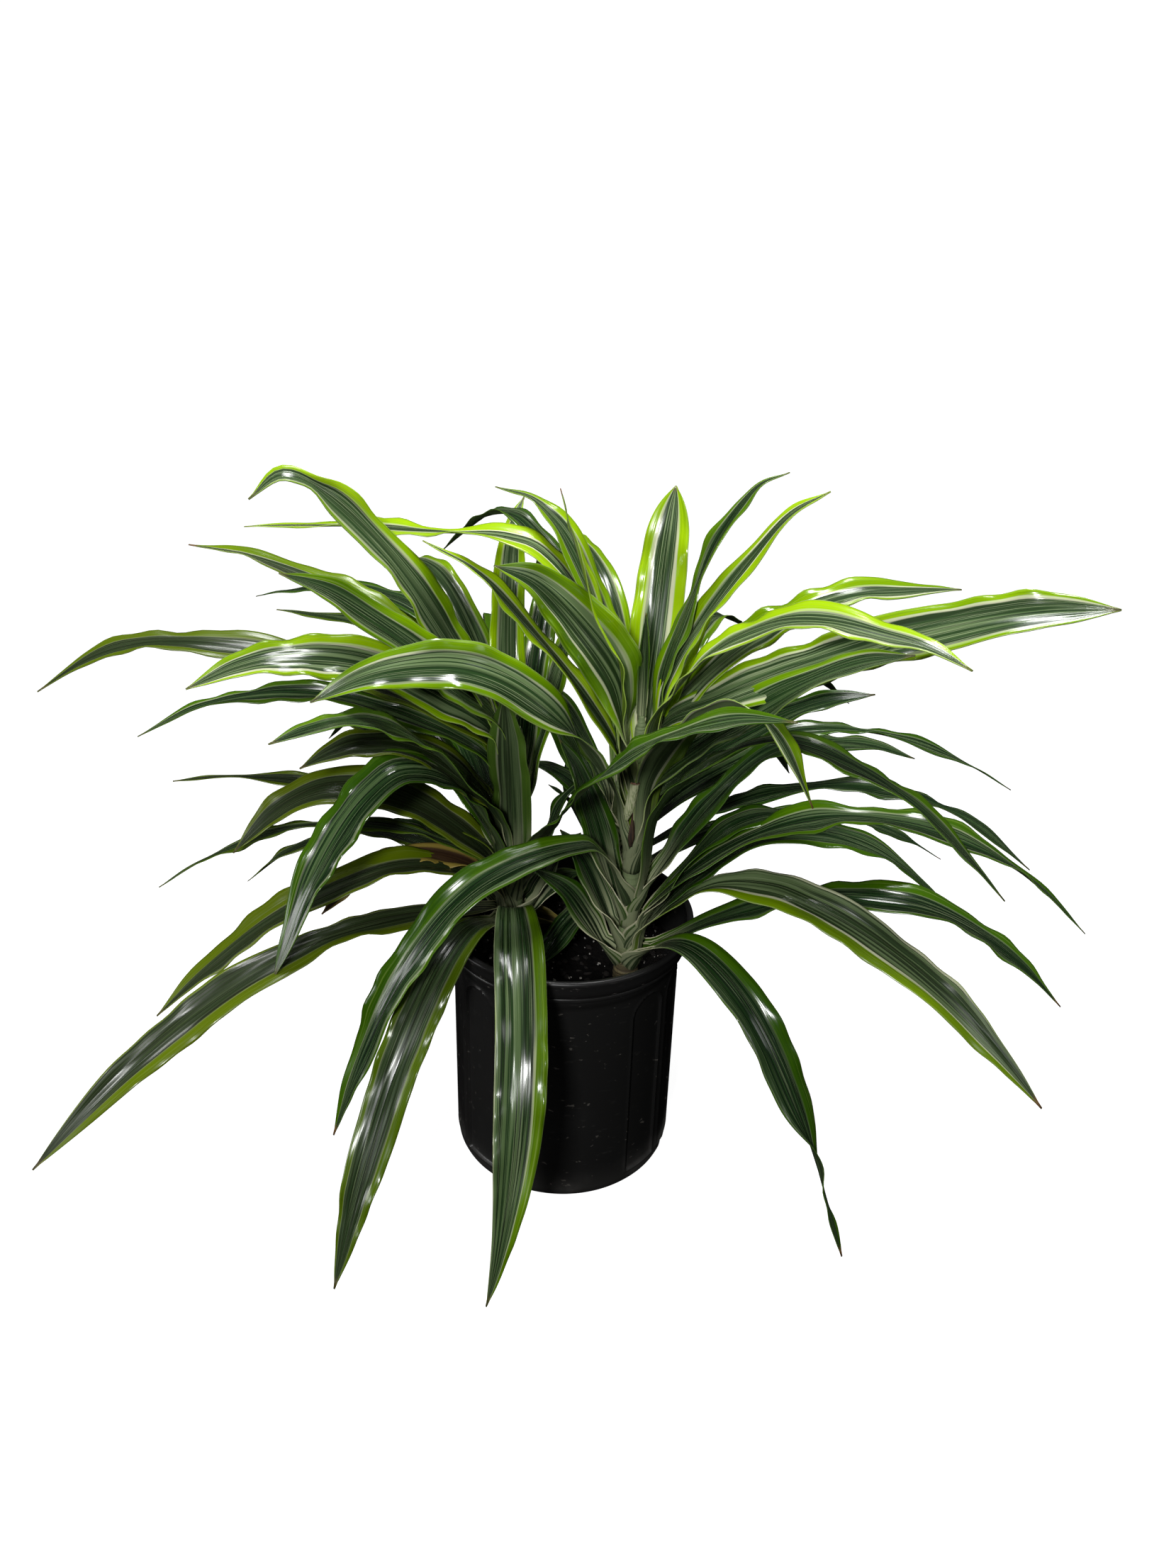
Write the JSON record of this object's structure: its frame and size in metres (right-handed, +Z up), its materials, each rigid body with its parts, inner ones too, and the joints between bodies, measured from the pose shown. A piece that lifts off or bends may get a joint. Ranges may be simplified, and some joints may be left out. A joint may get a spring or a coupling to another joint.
{
  "type": "potted lemon lime dracaena",
  "caption": "Potted foliage plant with long arching striped leaves in leafy stems, in a black plastic nursery pot filled with dark soil.",
  "frame": {"origin": "centre of the pot's flat underside, where it stands on the ground", "axes": "+Z up along the pot's axis, -Y towards the front, +X to the right as seen from the front"},
  "size_m": [0.9584, 0.7024, 0.7675],
  "materials": {
    "pot": "satin black moulded plastic, lightly scuffed",
    "soil": "dark damp potting mix with white specks",
    "leaves_left": "glossy leaf, dark green centre, cream lines and lime margins",
    "leaves_right": "glossy leaf, dark green centre, cream lines and bright lime margins",
    "leaves_back": "glossy leaf, dark green with thin pale lines"
  },
  "bodies": {
    "root": {"pot": "pot", "soil": "soil", "cane_left": "leaves_left", "cane_right": "leaves_right", "cane_back": "leaves_back"}
  },
  "joints": []
}
